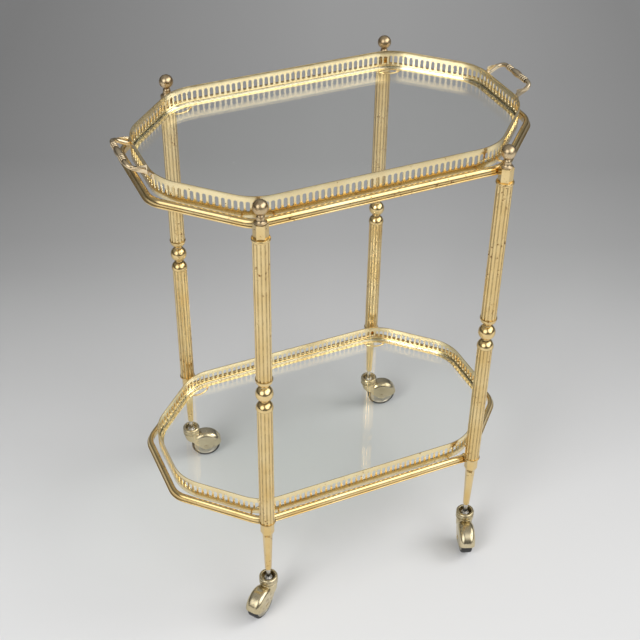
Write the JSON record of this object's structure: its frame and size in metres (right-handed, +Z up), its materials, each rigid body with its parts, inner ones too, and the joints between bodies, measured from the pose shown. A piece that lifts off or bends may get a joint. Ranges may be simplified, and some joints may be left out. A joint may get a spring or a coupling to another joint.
{
  "type": "dessert trolley",
  "caption": "Two-tier brass dessert trolley with pierced-gallery glass trays, turned legs with ball finials, and swivelling hooded casters.",
  "frame": {"origin": "on the floor, midway between the four legs", "axes": "+Z up, +X along the trolley towards one end handle, +Y across it towards the back long side"},
  "size_m": [0.581, 0.4143, 0.7168],
  "materials": {
    "brass": "polished, lightly tarnished",
    "gallery_brass": "polished pierced strip",
    "caster_brass": "pale, duller brass",
    "hub_metal": "plated wheel centre",
    "steel": "bright steel",
    "rod_steel": "plain steel rod",
    "glass": "clear float glass with green edges",
    "tyre": "black rubber"
  },
  "bodies": {
    "frame": {"top_rim": "brass", "bottom_rim": "brass", "top_brackets": "brass", "bottom_brackets": "brass", "rim_screws": "brass", "tie_rods": "rod_steel", "front_left_finial": "brass", "front_left_top_collar": "brass", "front_left_upper_column": "brass", "front_left_knop": "brass", "front_left_lower_column": "brass", "front_left_foot": "brass", "front_left_caster_stem": "steel", "front_right_finial": "brass", "front_right_top_collar": "brass", "front_right_upper_column": "brass", "front_right_knop": "brass", "front_right_lower_column": "brass", "front_right_foot": "brass", "front_right_caster_stem": "steel", "back_right_finial": "brass", "back_right_top_collar": "brass", "back_right_upper_column": "brass", "back_right_knop": "brass", "back_right_lower_column": "brass", "back_right_foot": "brass", "back_right_caster_stem": "steel", "back_left_finial": "brass", "back_left_top_collar": "brass", "back_left_upper_column": "brass", "back_left_knop": "brass", "back_left_lower_column": "brass", "back_left_foot": "brass", "back_left_caster_stem": "steel"},
    "top_tray": {"top_gallery_front": "gallery_brass", "top_gallery_back": "gallery_brass", "top_glass": "glass", "handle_left": "brass", "handle_right": "brass", "handle_rivets": "brass"},
    "lower_tray": {"bottom_gallery_front": "gallery_brass", "bottom_gallery_back": "gallery_brass", "bottom_glass": "glass"},
    "front_left_swivel": {"front_left_hood": "caster_brass", "front_left_axle": "caster_brass"},
    "front_left_wheel": {"front_left_hub": "hub_metal", "front_left_tyre": "tyre"},
    "front_right_swivel": {"front_right_hood": "caster_brass", "front_right_axle": "caster_brass"},
    "front_right_wheel": {"front_right_hub": "hub_metal", "front_right_tyre": "tyre"},
    "back_right_swivel": {"back_right_hood": "caster_brass", "back_right_axle": "caster_brass"},
    "back_right_wheel": {"back_right_hub": "hub_metal", "back_right_tyre": "tyre"},
    "back_left_swivel": {"back_left_hood": "caster_brass", "back_left_axle": "caster_brass"},
    "back_left_wheel": {"back_left_hub": "hub_metal", "back_left_tyre": "tyre"}
  },
  "joints": [
    {"name": "top_tray_lift", "type": "slide", "parent": "frame", "child": "top_tray", "axis": [0, 0, 1], "range_m": [0, 0.3]},
    {"name": "lower_tray_lift", "type": "slide", "parent": "frame", "child": "lower_tray", "axis": [0, 0, 1], "range_m": [0, 0.3]},
    {"name": "front_left_swivel_turn", "type": "hinge", "parent": "frame", "child": "front_left_swivel", "pos_m": [-0.16772, -0.17609, 0.03], "axis": [0, 0, 1], "continuous": true},
    {"name": "front_left_wheel_roll", "type": "hinge", "parent": "front_left_swivel", "child": "front_left_wheel", "pos_m": [-0.1865, -0.18954, 0.0238], "axis": [0.5821, -0.8131, 0], "continuous": true},
    {"name": "front_right_swivel_turn", "type": "hinge", "parent": "frame", "child": "front_right_swivel", "pos_m": [0.16772, -0.17609, 0.03], "axis": [0, 0, 1], "continuous": true},
    {"name": "front_right_wheel_roll", "type": "hinge", "parent": "front_right_swivel", "child": "front_right_wheel", "pos_m": [0.15929, -0.1976, 0.0238], "axis": [0.9311, -0.3649, 0], "continuous": true},
    {"name": "back_right_swivel_turn", "type": "hinge", "parent": "frame", "child": "back_right_swivel", "pos_m": [0.16772, 0.17609, 0.03], "axis": [0, 0, 1], "continuous": true},
    {"name": "back_right_wheel_roll", "type": "hinge", "parent": "back_right_swivel", "child": "back_right_wheel", "pos_m": [0.19003, 0.17011, 0.0238], "axis": [0.2588, 0.9659, 0], "continuous": true},
    {"name": "back_left_swivel_turn", "type": "hinge", "parent": "frame", "child": "back_left_swivel", "pos_m": [-0.16772, 0.17609, 0.03], "axis": [0, 0, 1], "continuous": true},
    {"name": "back_left_wheel_roll", "type": "hinge", "parent": "back_left_swivel", "child": "back_left_wheel", "pos_m": [-0.1455, 0.16976, 0.0238], "axis": [0.274, 0.9617, 0], "continuous": true}
  ]
}
